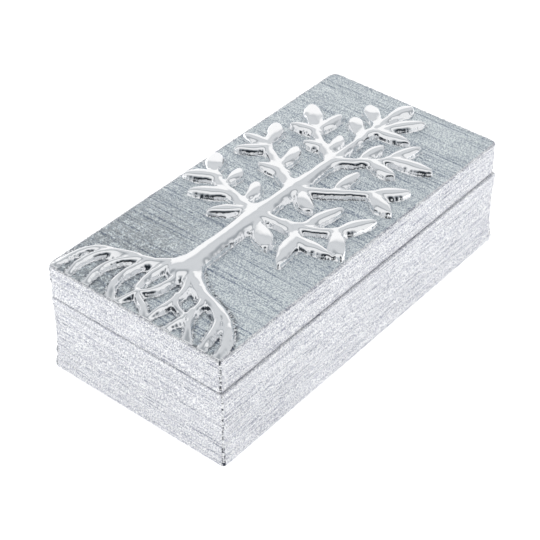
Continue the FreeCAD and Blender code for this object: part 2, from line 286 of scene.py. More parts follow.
# Roots: places along the course to the lid's edge, half width at its start and at its tip. The first two are
# the webs of the flare.
ROOTS = (
    (((-60, 2), (-68, 8), (-72.5, 17), (-75, 25), (-77, 31)), 4.6, 2.6),
    (((-60, -1), (-68, -8), (-73, -16.5), (-76, -25), (-79, -31)), 4.0, 2.2),
    (((-62, 3), (-68.5, 10), (-72.3, 18), (-74.3, 27), (-77, 35), (-81, 40), (-86, 43.2), (-92, 44.8),
      (-99, 45)), 3.4, 1.9),
    (((-72, 20), (-76, 30), (-82, 35.5), (-90, 37.3), (-99, 36.5)), 2.2, 1.7),
    (((-70.5, 14), (-76, 22), (-81, 26), (-88, 27.6), (-99, 26.6)), 2.3, 1.7),
    (((-66, 7), (-71, 13), (-76.5, 16.2), (-85, 17.6), (-93, 15.8), (-99, 11)), 2.8, 1.7),
    (((-65, 4), (-71, 7.5), (-78, 8.4), (-86, 7), (-90, 4), (-94, -3), (-99, -8)), 2.6, 1.6),
    (((-64, 0), (-71, -0.4), (-77, -0.8), (-84, 0.8), (-90, 5), (-94, 7), (-99, 10)), 2.5, 1.6),
    (((-64, -2), (-71, -6.5), (-77, -9.2), (-83, -10), (-90, -9.6), (-99, -7.5)), 2.7, 1.7),
    (((-81, -9.5), (-84.5, -12), (-86.5, -15.5), (-87.5, -20)), 2.0, 1.7),
    (((-67, -6), (-72.5, -14.5), (-76.5, -19.2), (-83, -20.6), (-92, -19.6), (-99, -17)), 2.7, 1.7),
    (((-84, -20.5), (-91, -24.5), (-99, -31)), 2.1, 1.7),
    (((-72, -14), (-76, -25), (-81, -31.5), (-89, -35), (-99, -37.5)), 2.5, 2.0),
    (((-62, -3), (-69, -11), (-73.5, -20), (-76, -28), (-79, -34), (-84, -39.5), (-91, -43.6),
      (-99, -45.6)), 3.5, 2.1),
)

# Camera: way to the photograph's viewpoint, its turn about the view, and its lens
CAMERA_AZIMUTH = -50.963
CAMERA_ELEVATION = 39.019
CAMERA_ROLL = 0.446
CAMERA_DISTANCE = 696.128
CAMERA_TARGET = (-15.589, -4.191, 29.8)
CAMERA_LENS = 104.5
SENSOR_WIDTH = 36.0

# Studio: brightness from the far side (0) to behind the camera (1), and how far its greys lean to blue
STUDIO_GREYS = (
    (0.0, 1.0), (0.085, 1.0), (0.125, 0.62), (0.18, 0.68), (0.34, 0.66), (0.46, 0.32), (0.54, 0.85),
    (0.78, 0.9), (0.88, 0.3), (0.92, 0.02), (0.98, 0.02), (0.992, 0.8),
)
COOLNESS = 0.07
# Floor: half size in metres, and how brightly it shows
FLOOR_REACH = 6.0
FLOOR_GLOW = 0.74

# Smallest length that counts, and the fill of an outline that leaves its holes open
TINY = 1e-9
OPEN_HOLES = 4


def rounded_plan(long_columns, short_columns, corner_columns):
    """Columns once round a rounded rectangle, against the clock, from the start of its front side.

    A column stands at its anchor times (half size - radius) plus its facing times the radius, in x
    and in y. On a side the anchor runs from corner to corner and the facing is square to the side;
    at a corner the anchor stays and the facing turns through a quarter circle.
    """
    anchors, facings = [], []
    for turn, columns in enumerate((long_columns, short_columns, long_columns, short_columns)):
        angle = turn * math.pi / 2
        out = np.array([math.sin(angle), -math.cos(angle)])
        along = np.array([math.cos(angle), math.sin(angle)])
        run = np.linspace(-1, 1, columns, endpoint=False)[:, None]
        swing = np.linspace(0, math.pi / 2, corner_columns, endpoint=False)[:, None]
        anchors += [run * along + out, np.ones_like(swing) * (along + out)]
        facings += [np.ones_like(run) * out, np.cos(swing) * out + np.sin(swing) * along]
    return np.concatenate(anchors), np.concatenate(facings)


def column_radius(anchors, corners):
    """Corner radius for each column: a corner's own on that corner, and an even blend along a side."""
    right, back = (1 + anchors.T) / 2
    front_radius = corners[0] + (corners[1] - corners[0]) * right
    back_radius = corners[3] + (corners[2] - corners[3]) * right
    return front_radius + (back_radius - front_radius) * back


def ring_points(plan, half_x, half_y, radius, push, level):
    """Points of rounded rectangles, as a grid of rows by columns.

    Each is its column's anchor times (half size - radius) plus its facing times (radius + push).
    """
    anchors, facings = plan
    x = anchors[:, 0] * (half_x - radius) + facings[:, 0] * (radius + push)
    y = anchors[:, 1] * (half_y - radius) + facings[:, 1] * (radius + push)
    return np.stack([x, y, level + 0 * x], axis=-1)


def lay_rings(plan, rows, push, corners):
    """Points of the base or the lid, one rounded rectangle per row of its section.

    A row is (offset, level): the plain plan grown by the offset. The corner radius grows with it on
    the outside, and is the inner radius inside. push moves points outwards.
    """
    offset, level = rows[:, 0:1], rows[:, 1:2]
    half_x, half_y = HALF_LENGTH + offset, HALF_WIDTH + offset
    outer = column_radius(plan[0], corners) + offset
    radius = np.where(offset > -CORNER_RADIUS, outer, np.minimum(INNER_RADIUS, ROUND_SHARE * half_y))
    return ring_points(plan, half_x, half_y, radius, push, level)


def ring_faces(first, rows, columns):
    """Quads between rings that follow each other, facing out where the rows rise outside."""
    row = first + np.arange(rows - 1)[:, None] * columns
    column = np.arange(columns)[None, :]
    after = (column + 1) % columns
    corners = [row + column, row + after, row + columns + after, row + columns + column]
    return np.stack(corners, axis=-1).reshape(-1, 4)


def cell_corners(grid):
    """Values at the four corners of each cell of a grid, against the clock."""
    return np.stack([grid[:-1, :-1], grid[:-1, 1:], grid[1:, 1:], grid[1:, :-1]], axis=-1)


def arc_rows(offset, level, radius, start, end, steps):
    """Rows along an arc about (offset, level), from one angle to another in degrees, 0 pointing outwards."""
    angle = np.radians(np.linspace(start, end, steps))
    return np.stack([offset + radius * np.cos(angle), level + radius * np.sin(angle)], axis=-1)


def line_rows(start, end, steps):
    """Rows along a straight line between two (offset, level) ends."""
    share = np.linspace(0, 1, steps)[:, None]
    return np.array(start) * (1 - share) + np.array(end) * share


def bell(value, middle, reach):
    """Bell curve of a value: 1 at the middle, and falling with the square of its distance over the reach."""
    return np.exp(-((value - middle) / reach) ** 2)


def blurred(field, row_blur, column_blur):
    """Field blurred by a bell curve of its own width each way, with its ends mirrored."""
    mirrored = np.block([[field, field[:, ::-1]], [field[::-1], field[::-1, ::-1]]])
    row_wave = np.fft.fftfreq(mirrored.shape[0])[:, None] * row_blur
    column_wave = np.fft.rfftfreq(mirrored.shape[1])[None, :] * column_blur
    kept = np.exp(-2 * np.pi ** 2 * (row_wave ** 2 + column_wave ** 2))
    smooth = np.fft.irfft2(np.fft.rfft2(mirrored) * kept, s=mirrored.shape)
    return smooth[:field.shape[0], :field.shape[1]]


def combed_field(seed, shape, row_blur, column_blur):
    """Streaky noise of unit spread: white noise blurred by a bell curve of its own width each way."""
    field = blurred(np.random.default_rng(seed).standard_normal(shape), row_blur, column_blur)
    return field / field.std()


def comb_cut(depth, shape, layers):
    """Depth of the combing, from zero to twice the given depth: its layers' sum through a soft step."""
    fields = [combed_field(seed, shape, *blurs) for seed, *blurs in layers]
    return depth * (1 + np.tanh(sum(fields) / math.sqrt(len(fields))))


def make_piece(name, points, faces, materials, face_finish, body, node, wear=None):
    """Smooth mesh from points in millimetres, which rides on a body and may stand for a CAD node.

    The wear values tell how far the silver is darkened at each point: by wear at the corners, and by painted
    shade on the lid's top.
    """
    mesh = bpy.data.meshes.new(name)
    mesh.from_pydata((points * MM).tolist(), [], faces)
    for material in materials:
        mesh.materials.append(material)
    mesh.polygons.foreach_set("material_index", np.asarray(face_finish, dtype=np.int32))
    if wear is not None:
        mesh.attributes.new("wear", "FLOAT", "POINT").data.foreach_set("value", wear.astype(np.float32))
    mesh.shade_smooth()
    mesh.update()
    piece = bpy.data.objects.new(name, mesh)
    bpy.context.collection.objects.link(piece)
    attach(piece, body)
    if node:
        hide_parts(node)


def wall_offset(level):
    """Offset of the base's outer wall: the parabola through its foot, its waist and its rim."""
    levels = np.array([FOOT_LEVEL, FOOT_LEVEL + WAIST_HEIGHT, RIM_LEVEL])
    curve = np.polyfit(levels, [FOOT_FLARE, -WAIST_INSET, 0.0], 2)
    return np.polyval(curve, level)


def corner_wear(plan, corners):
    """Wear of each column: greatest in the middle of a corner's turn, and less on a rounder corner."""
    anchors, facings = plan
    turn = 2 * np.abs(facings[:, 0] * facings[:, 1])
    wear = np.clip((turn - WEAR_START) / WEAR_GROWTH, 0, 1)
    return wear * CORNER_RADIUS / column_radius(anchors, corners)


def base_rows():
    """Rows of the base's section, from under its middle round to the middle of its floor, in five stretches.

    They are the underside with its foot ring, the foot's edge, the outer wall, the rim and the inside.
    """
    middle = CAP_HALF_WIDTH - HALF_WIDTH
    ring_edge = -FOOT_RING_WIDTH
    chamfer = FOOT_RING_CHAMFER
    foot_top = FOOT_LEVEL + FOOT_ROUNDING
    foot_edge = wall_offset(foot_top) - FOOT_ROUNDING
    underside = np.concatenate([
        line_rows((middle, RECESS_LEVEL), (ring_edge - chamfer, RECESS_LEVEL), 4),
        line_rows((ring_edge, RECESS_LEVEL - chamfer), (ring_edge, FOOT_LEVEL + chamfer), 2),
        line_rows((ring_edge + chamfer, FOOT_LEVEL), (foot_edge - chamfer, FOOT_LEVEL), 3),
    ])
    foot = arc_rows(foot_edge, foot_top, FOOT_ROUNDING, -90, -8, 6)
    wall_levels = np.linspace(foot_top, RIM_LEVEL - RIM_ROUNDING, WALL_ROWS)
    wall = np.stack([wall_offset(wall_levels), wall_levels], axis=-1)
    rim = np.concatenate([
        arc_rows(-RIM_ROUNDING, RIM_LEVEL - RIM_ROUNDING, RIM_ROUNDING, 10, 90, 5),
        arc_rows(-WALL + MOUTH_ROUNDING, RIM_LEVEL - MOUTH_ROUNDING, MOUTH_ROUNDING, 90, 150, 4),
    ])
    inside = np.concatenate([
        line_rows((-WALL, RIM_LEVEL - MOUTH_ROUNDING), (-WALL, FLOOR_LEVEL + FLOOR_FILLET), 6),
        arc_rows(-WALL - FLOOR_FILLET, FLOOR_LEVEL + FLOOR_FILLET, FLOOR_FILLET, -15, -90, 6),
        line_rows((-WALL - FLOOR_FILLET - FILLET_MARGIN, FLOOR_LEVEL), (middle, FLOOR_LEVEL), 4),
    ])
    return underside, foot, wall, rim, inside


def build_base(materials):
    """Base as one closed surface: its section carried round the plan, with a cap at each end.

    The outer wall is cut in by streaks that run round the box, faded towards foot and rim. The
    materials are the silver outside, the glaze inside and the bare clay underneath.
    """
    silver, glaze, clay = range(3)
    plan = rounded_plan(*BASE_COLUMNS)
    columns = len(plan[0])
    underside, foot, wall, rim, inside = base_rows()
    rows = np.concatenate([underside, foot, wall, rim, inside])
    wall_start = len(underside) + len(foot)
    wall_end = wall_start + len(wall)
    levels = wall[:, 1]
    fade = np.minimum(levels - levels[0], levels[-1] - levels) / COMB_FADE
    cut = comb_cut(WALL_COMB_DEPTH, (len(wall), columns), WALL_COMBS)
    push = np.zeros((len(rows), columns))
    push[wall_start:wall_end] = -cut * np.clip(fade, COMB_LEAST, 1)[:, None]
    points = lay_rings(plan, rows, push, BASE_CORNERS).reshape(-1, 3)
    under_cap = np.arange(columns)[::-1]
    floor_cap = np.arange(columns) + (len(rows) - 1) * columns
    faces = ring_faces(0, len(rows), columns).tolist() + [under_cap.tolist(), floor_cap.tolist()]
    outside = len(foot) + len(wall) + len(rim)
    row_finish = np.repeat([clay, silver, glaze], [len(underside) - 1, outside, len(inside)])
    face_finish = np.append(np.repeat(row_finish, columns), [clay, glaze])
    wear = np.outer(np.arange(len(rows)) < wall_end, corner_wear(plan, BASE_CORNERS)).ravel()
    make_piece("combed_base", points, faces, materials, face_finish,
               "base", "base_shell", wear)


def flat_edge(left, right, long_columns, corner_columns):
    """Long edge of the lid's flat top from left to right, as x and as distance from the middle line.

    It turns through a quarter circle of its own radius at each end, in even steps of the angle, and
    runs straight between them in even steps of length.
    """
    swing = np.linspace(0, math.pi / 2, corner_columns, endpoint=False)
    run = np.linspace(left - FLAT_X, FLAT_X - right, long_columns + 1)
    left_x, left_y = FLAT_X - left + left * np.cos(swing), FLAT_Y - left + left * np.sin(swing)
    right_x, right_y = FLAT_X - right + right * np.cos(swing), FLAT_Y - right + right * np.sin(swing)
    x = np.concatenate([-left_x, run, right_x[::-1]])
    return x, np.concatenate([left_y, np.full(len(run), FLAT_Y), right_y[::-1]])


def lid_patch(long_columns, short_columns, corner_columns):
    """Flat top of the lid as a grid whose edge is a rounded rectangle, with its ring of edge points.

    Each column runs in even steps from the front edge to the back edge. The ring lists the edge's
    points in the order of rounded_plan.
    """
    front_left, front_right, back_right, back_left = np.array(LID_CORNERS) - LID_EDGE_ROUNDING
    front_x, front_y = flat_edge(front_left, front_right, long_columns, corner_columns)
    back_x, back_y = flat_edge(back_left, back_right, long_columns, corner_columns)
    share = np.linspace(0, 1, short_columns + 1)[:, None]
    grid_x = front_x + (back_x - front_x) * share
    grid_y = (back_y + front_y) * share - front_y
    index = np.arange(grid_x.size).reshape(grid_x.shape)
    turn = corner_columns
    front, back = index[0], index[-1]
    ring = np.concatenate([
        front[turn:-1], index[:-1, -1], back[:turn:-1], back[turn:0:-1], index[:0:-1, 0], front[:turn],
    ])
    return grid_x, grid_y, ring, cell_corners(index).reshape(-1, 4)


def edge_stitch(ring, inner):
    """Triangles between the edge of the lid's top and the first ring of its rounded edge.

    The top's edge has two points for each column of the ring, so three triangles join each pair.
    """
    outer, between, outer_after = ring[::2], ring[1::2], np.roll(ring, -2)[::2]
    inner_after = np.roll(inner, -1)
    return np.concatenate([
        np.stack([outer, inner, between], axis=-1),
        np.stack([between, inner, inner_after], axis=-1),
        np.stack([between, inner_after, outer_after], axis=-1),
    ])


def lid_rows():
    """Rows of the lid's section, from its top edge round to the middle of its ceiling, in four stretches.

    They are the top edge, the sides, the lower edge, and the seat with the lip and the hollow.
    """
    middle = CAP_HALF_WIDTH - HALF_WIDTH
    side_top = LID_TOP_LEVEL - LID_EDGE_ROUNDING
    side_foot = RIM_LEVEL + LID_EDGE_ROUNDING
    ceiling = LID_TOP_LEVEL - LID_PLATE
    hollow = -LIP_INSET - LIP_WALL
    top_edge = arc_rows(-LID_EDGE_ROUNDING, side_top, LID_EDGE_ROUNDING, 68, 10, 4)
    sides = line_rows((0, side_top), (0, side_foot), LID_SIDE_ROWS)
    low_edge = arc_rows(-LID_EDGE_ROUNDING, side_foot, LID_EDGE_ROUNDING, -10, -90, 5)
    inside = np.concatenate([
        line_rows((-LIP_INSET + LIP_CHAMFER, RIM_LEVEL), (-LIP_INSET, RIM_LEVEL - LIP_CHAMFER), 2),
        arc_rows(-LIP_INSET - LIP_ROUNDING, LIP_LEVEL + LIP_ROUNDING, LIP_ROUNDING, 0, -90, 4),
        arc_rows(hollow + LIP_ROUNDING, LIP_LEVEL + LIP_ROUNDING, LIP_ROUNDING, -90, -180, 4),
        arc_rows(hollow - FLOOR_FILLET, ceiling - FLOOR_FILLET, FLOOR_FILLET, 0, 90, 6),
        line_rows((hollow - FLOOR_FILLET - FILLET_MARGIN, ceiling), (middle, ceiling), 4),
    ])
    return top_edge, sides, low_edge, inside


def round_the_tree(x, height, roots, crown):
    """Share of something that lies close to the tree's foot: a bell curve of the tree's height at each place.

    The roots and the crown each have their strength, the height where it is greatest, and its reach.
    """
    shares = [strength * bell(height, middle, reach) for strength, middle, reach in (roots, crown)]
    return np.where(x < ROOT_ZONE, *shares)


def painted_shade(tree, x, y):
    """Painted shade on the lid's top: strongest in the hollows between the roots, less along the foot of the
    crown.

    A thin layer of it covers the back half of the lid, growing evenly towards the root end.
    """
    grid_x, grid_y, height = tree
    column = np.round((x - grid_x[0, 0]) / (grid_x[0, 1] - grid_x[0, 0])).astype(int)
    row = np.round((y - grid_y[0, 0]) / (grid_y[1, 0] - grid_y[0, 0])).astype(int)
    near = height[row.clip(0, height.shape[0] - 1), column.clip(0, height.shape[1] - 1)]
    along = np.clip((BACK_SHADE_START[0] - x) / BACK_SHADE_GROWTH[0], 0, 1)
    across = np.clip((y - BACK_SHADE_START[1]) / BACK_SHADE_GROWTH[1], 0, 1)
    return np.maximum(round_the_tree(x, near, ROOT_SHADE, CROWN_SHADE), BACK_SHADE * along * across)


def build_lid(tree, materials):
    """Lid as one closed surface: the flat top as a grid, and the rest of its section carried round.

    The top is cut in by streaks across the lid and the sides by streaks round it. The materials are
    the silver of the sides, that of the top, and the glaze inside.
    """
    side_silver, top_silver, glaze = range(3)
    top_x, top_y, ring, top_faces = lid_patch(*LID_COLUMNS)
    top_level = LID_TOP_LEVEL - comb_cut(LID_COMB_DEPTH, top_x.shape, TOP_COMBS)
    top = np.stack([top_x, top_y, top_level], axis=-1).reshape(-1, 3)
    plan = [values[::2] for values in rounded_plan(*LID_COLUMNS)]
    columns = len(plan[0])
    top_edge, sides, low_edge, inside = lid_rows()
    rows = np.concatenate([top_edge, sides, low_edge, inside])
    push = np.zeros((len(rows), columns))
    cut = comb_cut(WALL_COMB_DEPTH, (len(sides), columns), SIDE_COMBS)
    push[len(top_edge):len(top_edge) + len(sides)] = -cut
    shell = lay_rings(plan, rows, push, LID_CORNERS).reshape(-1, 3)
    points = np.concatenate([top, shell])
    points[:, :2] += LID_MIDDLE
    first = len(top)
    stitch = edge_stitch(ring, first + np.arange(columns))
    shell_faces = ring_faces(first, len(rows), columns)[:, ::-1]
    cap = first + (len(rows) - 1) * columns + np.arange(columns)[::-1]
    faces = top_faces.tolist() + stitch.tolist() + shell_faces.tolist() + [cap.tolist()]
    outside = len(top_edge) + len(sides) + len(low_edge)
    row_finish = np.repeat([side_silver, glaze], [outside, len(inside) - 1])
    face_finish = np.concatenate([
        np.full(len(top_faces), top_silver), np.full(len(stitch), side_silver),
        np.repeat(row_finish, columns), [glaze],
    ])
    side_wear = np.tile(corner_wear(plan, LID_CORNERS), len(rows))
    # On the top these values are painted shade by the tree's foot and at the back of the root end; on the
    # sides they are corner wear
    wear = np.append(painted_shade(tree, top_x, top_y).ravel(), side_wear)
    make_piece("combed_lid", points, faces, materials, face_finish,
               "lid", "lid_shell", wear)


def smooth_course(marks, steps=10):
    """Marks joined by a curve that passes through each: the cubic of every four neighbours in turn."""
    marks = np.asarray(marks, float)
    padded = np.concatenate([2 * marks[:1] - marks[1:2], marks, 2 * marks[-1:] - marks[-2:-1]])
    before, here, after, beyond = (padded[first:len(padded) - 3 + first, None] for first in range(4))
    share = np.linspace(0, 1, steps, endpoint=False)[None, :, None]
    curve = here + 0.5 * share * (after - before + share * (
        2 * before - 5 * here + 4 * after - beyond + share * (3 * (here - after) + beyond - before)))
    return np.concatenate([curve.reshape(-1, marks.shape[1]), marks[-1:]])


def section(share, roundness):
    """Height of a section from 0 at the flank to 1 at the crest, and on downwards in a straight line outside.

    A share of it rises straight to a ridge, and the rest is a back whose flanks are the steeper the
    higher its power is.
    """
    inner = np.clip(share, 0, 1)
    rounded = 1 - (1 - inner) ** roundness
    outside = np.minimum(share, 0) * ((1 - MIDRIB_SHARE) * roundness + MIDRIB_SHARE)
    return (1 - MIDRIB_SHARE) * rounded + MIDRIB_SHARE * inner + outside


def strand_field(course, x, y):
    """Depth inside a strand's flanks at each place, with the strand's half width and crest height there.

    The course is a row per point of (x, y, half width, crest height). A place takes the stretch of the
    course where it lies deepest.
    """
    start, step = course[:-1], np.diff(course, axis=0)
    from_start_x, from_start_y = x[..., None] - start[:, 0], y[..., None] - start[:, 1]
    length_squared = np.maximum(step[:, 0] ** 2 + step[:, 1] ** 2, TINY)
    share = np.clip((from_start_x * step[:, 0] + from_start_y * step[:, 1]) / length_squared, 0, 1)
    away = np.hypot(from_start_x - share * step[:, 0], from_start_y - share * step[:, 1])
    half_width = start[:, 2] + share * step[:, 2]
    best = np.argmax(half_width - away, axis=-1)[..., None]
    values = half_width - away, half_width, start[:, 3] + share * step[:, 3]
    return [np.take_along_axis(value, best, -1)[..., 0] for value in values]


def leaf_field(stalk, tip, width, bow, powers, x, y):
    """Depth inside a leaf's outline at each place, with the leaf's half width and crest height there.

    Along the leaf its half width goes as a power of the way from the stalk times a power of the way
    to the tip. The midrib bows sideways by a parabola, and the crest sinks towards both ends.
    """
    stalk, tip = np.array(stalk, float), np.array(tip, float)
    length = np.hypot(*(tip - stalk))
    along = (tip - stalk) / length
    place = ((x - stalk[0]) * along[0] + (y - stalk[1]) * along[1]) / length
    inner = np.clip(place, 0, 1)
    aside = (y - stalk[1]) * along[0] - (x - stalk[0]) * along[1] - 4 * bow * inner * (1 - inner)
    stalk_power, tip_power = powers
    widest = stalk_power / (stalk_power + tip_power)
    full = widest ** stalk_power * (1 - widest) ** tip_power
    from_stalk, to_tip = np.maximum(inner, STALK_SHARE), np.maximum(1 - inner, TIP_SHARE)
    half = width / 2 * from_stalk ** stalk_power * to_tip ** tip_power / full
    depth = half - np.abs(aside) - length * np.abs(place - inner)
    crest = LEAF_HEIGHT * (1 - LEAF_ARCH + LEAF_ARCH * np.sin(math.pi * inner) - LEAF_SINK * inner ** 3)
    return depth, np.maximum(half, LEAF_HALF_WIDTH), crest


def melt(one, other, reach):
    """The larger of two values, with a soft fillet where they differ by less than the reach."""
    near = np.maximum(1 - np.abs(one - other) / reach, 0)
    return np.maximum(one, other) + reach * near ** 2 / 4


def tapered(marks, start, end, crest):
    """Smooth course of a strand that tapers evenly from one half width to another while its crest sinks."""
    taper = np.linspace(0, 1, len(marks))[:, None]
    half_width = start + (end - start) * taper
    return smooth_course(np.hstack([np.array(marks, float), half_width, crest * (1 - STRAND_SINK * taper)]))


def near_window(x, y, low, high):
    """Slices of an even grid that cover the box between two corners."""
    rows = np.searchsorted(y[:, 0], [low[1], high[1]])
    columns = np.searchsorted(x[0], [low[0], high[0]])
    return slice(*rows), slice(*columns)


def crown_field(x, y):
    """Depth, half width and crest height of the trunk, the branches and the leaves together.

    They melt together by their depths, with wide webs in their forks, and there the half widths and
    crests pass evenly from one to the other.
    """
    depth, half, crest = np.full(x.shape, FARTHEST), np.ones(x.shape), np.ones(x.shape)
    trunk = np.array(TRUNK, float)
    strands = [smooth_course(np.column_stack([trunk, np.linspace(TRUNK_HEIGHT, CROWN_HEIGHT, len(trunk))]))]
    strands += [tapered(*branch, BRANCH_HEIGHT) for branch in BRANCHES]
    shapes = [(BRANCH_MELT, strand_field, (course,), course[:, :2], course[:, 2].max()) for course in strands]
    shapes += [(LEAF_MELT, leaf_field, leaf, np.array(leaf[:2], float), leaf[2]) for leaf in LEAVES]
    for reach, field, values, marks, width in shapes:
        window = near_window(x, y, marks.min(axis=0) - width - reach, marks.max(axis=0) + width + reach)
        new_depth, new_half, new_crest = field(*values, x[window], y[window])
        new_depth = np.maximum(new_depth, FARTHEST)
        share = np.clip(0.5 + (new_depth - depth[window]) / (2 * reach), 0, 1)
        half[window] += (new_half - half[window]) * share
        crest[window] += (new_crest - crest[window]) * share
        depth[window] = melt(depth[window], new_depth, reach)
    return depth, half, crest


def tree_height(x, y):
    """Height of the whole tree over the lid.

    The roots melt into the crown by their heights, so that each keeps its own back. The whole is
    blurred a little, and noise moves its outline, ruffles its foot and flanks and waves its back.
    """
    outline, foot, back, flank = (combed_field(seed, x.shape, blur, blur) for seed, blur in TREE_NOISES)
    waver = OUTLINE_WAVER * outline
    depth, half, crest = crown_field(x, y)
    height = crest * section((depth + waver) / half, CROWN_ROUNDNESS)
    for root in ROOTS:
        course = tapered(*root, ROOT_HEIGHT)
        reach = course[:, 2].max() - FARTHEST
        window = near_window(x, y, course[:, :2].min(axis=0) - reach, course[:, :2].max(axis=0) + reach)
        depth, half, crest = strand_field(course, x[window], y[window])
        root_height = crest * section((depth + waver[window]) / half, ROOT_ROUNDNESS)
        height[window] = melt(height[window], root_height, ROOT_MELT)
    ruffle = FOOT_WAVER * foot * bell(height, 0, FOOT_REACH)
    wave = GLAZE_WAVE * back * np.clip(height - GLAZE_WAVE_START, 0, 1)
    chatter = FLANK_CHATTER * flank * bell(height, FLANK_MIDDLE, FLANK_REACH)
    return blurred(height, GLAZE_BLUR / TREE_PITCH, GLAZE_BLUR / TREE_PITCH) + ruffle + wave + chatter


def plan_tree():
    """Even grid over the flat top of the lid, with the tree's height at each place."""
    x, y = np.meshgrid(np.linspace(-FLAT_X, FLAT_X, round(2 * FLAT_X / TREE_PITCH)),
                       np.linspace(-FLAT_Y, FLAT_Y, round(2 * FLAT_Y / TREE_PITCH)))
    return x, y, tree_height(x, y)


def tree_face(tree):
    """Grid of points on the tree's face, with the cells of the grid that it covers.

    At its foot the height melts into a level just under the lid's top, and towards the lid's edge it
    droops as a sine does. Points on the flanks move out, the more the steeper they stand, so that the
    flanks stand upright.
    """
    x, y, bare = tree
    height = melt(bare, np.full(x.shape, -TREE_SKIRT), FOOT_MELT)
    to_edge = np.minimum(FLAT_X - np.abs(x), FLAT_Y - np.abs(y))
    reach = np.where(x < ROOT_ZONE, ROOT_DROOP, LEAF_DROOP)
    droop = np.sin(math.pi / 2 * np.clip(to_edge / reach, 0, 1))
    height = np.where(height > 0, height * droop, height)
    slope_y, slope_x = np.gradient(height, y[:, 0], x[0])
    bulge = -FLANK_BULGE * np.clip(height, 0, 1) / (1 + np.hypot(slope_x, slope_y))
    x = np.clip(x + bulge * slope_x, -FLAT_X, FLAT_X)
    y = np.clip(y + bulge * slope_y, -FLAT_Y, FLAT_Y)
    level = LID_TOP_LEVEL + np.maximum(height, -TREE_SKIRT)
    covered = bare > -TREE_SKIRT - KEPT_FOOT * FOOT_MELT
    return np.stack([x, y, level], axis=-1), cell_corners(covered).any(axis=-1)


def build_tree(tree, materials):
    """Tree as one closed piece: its face on an even grid, a wall down from the outline, and a flat back.

    The outline is every edge that only one cell has, and the back is the outline filled.
    """
    grid, cells = tree_face(tree)
    index = np.arange(grid.shape[0] * grid.shape[1]).reshape(grid.shape[:2])
    used, quads = np.unique(cell_corners(index)[cells], return_inverse=True)
    quads = quads.reshape(-1, 4)
    face = grid.reshape(-1, 3)[used]
    edges = np.stack([quads, np.roll(quads, -1, axis=1)], axis=-1).reshape(-1, 2)
    keys = edges[:, 0] * len(used) + edges[:, 1]
    outline = edges[~np.isin(edges[:, 1] * len(used) + edges[:, 0], keys)]
    rim, rim_edges = np.unique(outline, return_inverse=True)
    rim_edges = rim_edges.reshape(-1, 2)
    rim_places = [Vector(point) for point in face[rim, :2]]
    back_points, _, back_faces, *_ = delaunay_2d_cdt(rim_places, rim_edges.tolist(), [], OPEN_HOLES, TINY)
    back = np.column_stack([np.array(back_points), np.full(len(back_points), LID_TOP_LEVEL - TREE_BACK)])
    points = np.concatenate([face, back])
    points[:, :2] += LID_MIDDLE
    wall = np.column_stack([outline[:, ::-1], rim_edges + len(used)])
    back_faces = np.array(back_faces)[:, ::-1] + len(used)
    faces = quads.tolist() + wall.tolist() + back_faces.tolist()
    make_piece("polished_tree", points, faces, materials, np.zeros(len(faces), int),
               "lid", "tree_relief")


def build_beads(name, seed, places, body, materials):
    """Beads of glaze: squashed balls of mixed sizes at the given places, each of a few rings and two caps.

    A ring's points turn once round at one height on the ball.
    """
    sizes = np.random.default_rng(seed).uniform(*BEAD_SIZES, len(places))[:, None, None]
    turns = np.linspace(0, 2 * math.pi, BEAD_COLUMNS, endpoint=False)
    height, turn = np.meshgrid(np.radians(BEAD_RINGS), turns, indexing="ij")
    out = np.cos(height)
    ball = np.stack([out * np.cos(turn), out * np.sin(turn), BEAD_SQUASH * np.sin(height)], axis=-1)
    ball = ball.reshape(-1, 3)
    points = (places[:, None, :] + sizes * ball).reshape(-1, 3)
    first = np.arange(len(places))[:, None, None] * len(ball)
    quads = first + ring_faces(0, len(BEAD_RINGS), BEAD_COLUMNS)
    ring = np.arange(BEAD_COLUMNS)
    caps = first + np.stack([ring[::-1], ring + len(ball) - BEAD_COLUMNS])
    faces = quads.reshape(-1, 4).tolist() + caps.reshape(-1, BEAD_COLUMNS).tolist()
    make_piece(name, points, faces, materials, np.zeros(len(faces), int), body, None)


def corner_places(seed, low, high, offset_at, corners):
    """Places along the four upright corner edges between two levels, at the tip of each rounded corner."""
    random = np.random.default_rng(seed)
    count = round(CORNER_BEADS * (high - low))
    level = random.uniform(low, high, (4, count))
    side = np.array([(-1, -1), (1, -1), (1, 1), (-1, 1)])[:, None, :]
    half = np.array([HALF_LENGTH, HALF_WIDTH]) + offset_at(level)[..., None]
    radius = np.array(corners)[:, None, None]
    tip = half - radius + radius / math.sqrt(2) + random.normal(0, CORNER_SCATTER, (4, count, 2))
    return np.concatenate([side * tip, level[..., None]], axis=-1).reshape(-1, 3)


def lid_edge_places(seed):
    """Places along the rounded top edge of the lid on all four sides, slid up and down its quarter circle."""
    random = np.random.default_rng(seed)
    sunk = LID_EDGE_ROUNDING - BEAD_SINK
    runs = []
    for turn, (along, across) in enumerate(((HALF_LENGTH, HALF_WIDTH), (HALF_WIDTH, HALF_LENGTH)) * 2):
        count = round(2 * along * EDGE_BEADS)
        run = random.uniform(LID_CORNERS[turn] - along, along - LID_CORNERS[(turn + 1) % 4], count)
        slide = np.radians(random.normal(*EDGE_SLIDE, count).clip(0, 90))
        out = across - LID_EDGE_ROUNDING + sunk * np.cos(slide)
        level = LID_TOP_LEVEL - LID_EDGE_ROUNDING + sunk * np.sin(slide)
        angle = turn * math.pi / 2
        runs.append(np.stack([run * math.cos(angle) + out * math.sin(angle),
                              run * math.sin(angle) - out * math.cos(angle), level], axis=-1))
    return np.concatenate(runs)


